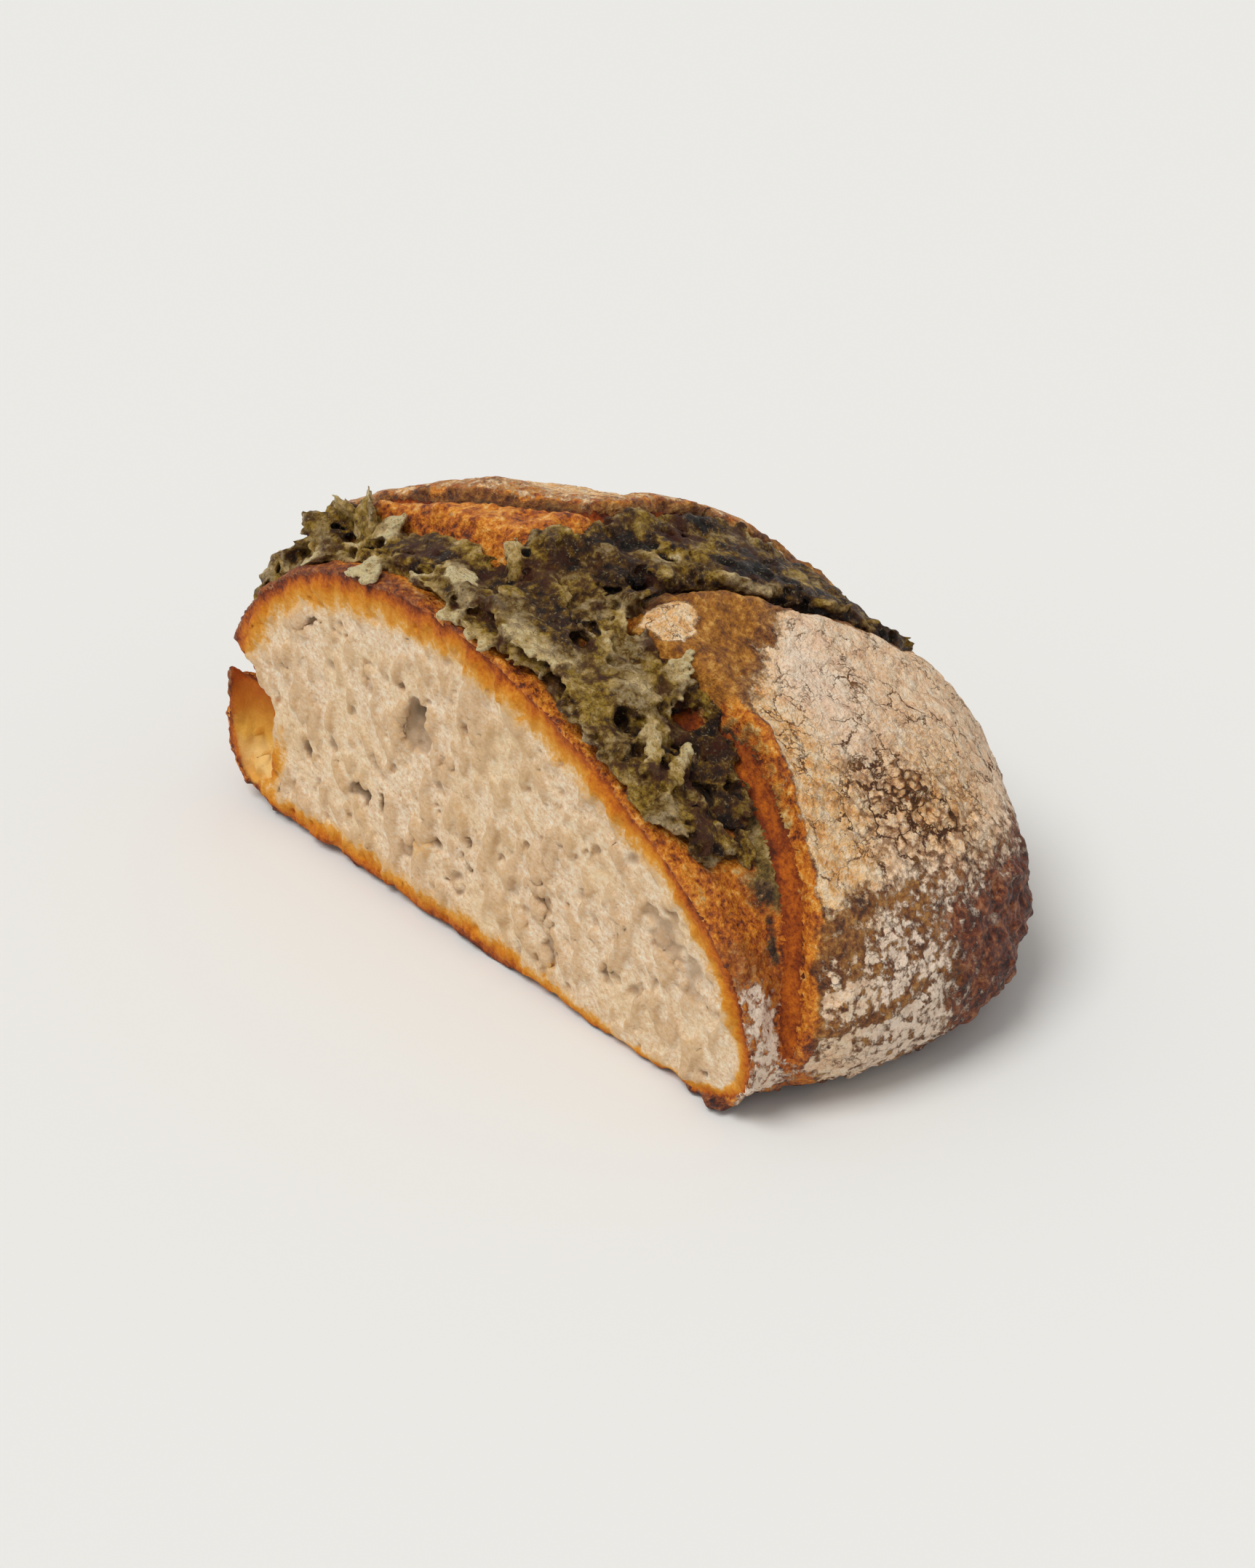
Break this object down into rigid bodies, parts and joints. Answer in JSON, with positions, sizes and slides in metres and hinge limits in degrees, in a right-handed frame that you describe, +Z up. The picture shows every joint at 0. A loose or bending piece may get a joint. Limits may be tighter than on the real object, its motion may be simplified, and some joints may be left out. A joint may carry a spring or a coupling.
{
  "type": "sourdough loaf",
  "caption": "Larger part of a cross-scored oval sourdough loaf, cut lengthwise, with herb cheese baked into its scores; it rests on its flat base.",
  "frame": {"origin": "on the resting surface, below the middle of the bounding box", "axes": "+X along the cut, -Y out of the cut face, +Z up from the flat base"},
  "size_m": [0.2216, 0.125, 0.0994],
  "materials": {
    "crust": "baked, matte, dusted with flour",
    "crumb": "open porous crumb, matte",
    "herb_cheese": "melted and browned, satin"
  },
  "bodies": {
    "root": {"loaf": "crust", "herb_cheese_topping": "herb_cheese"}
  },
  "joints": []
}
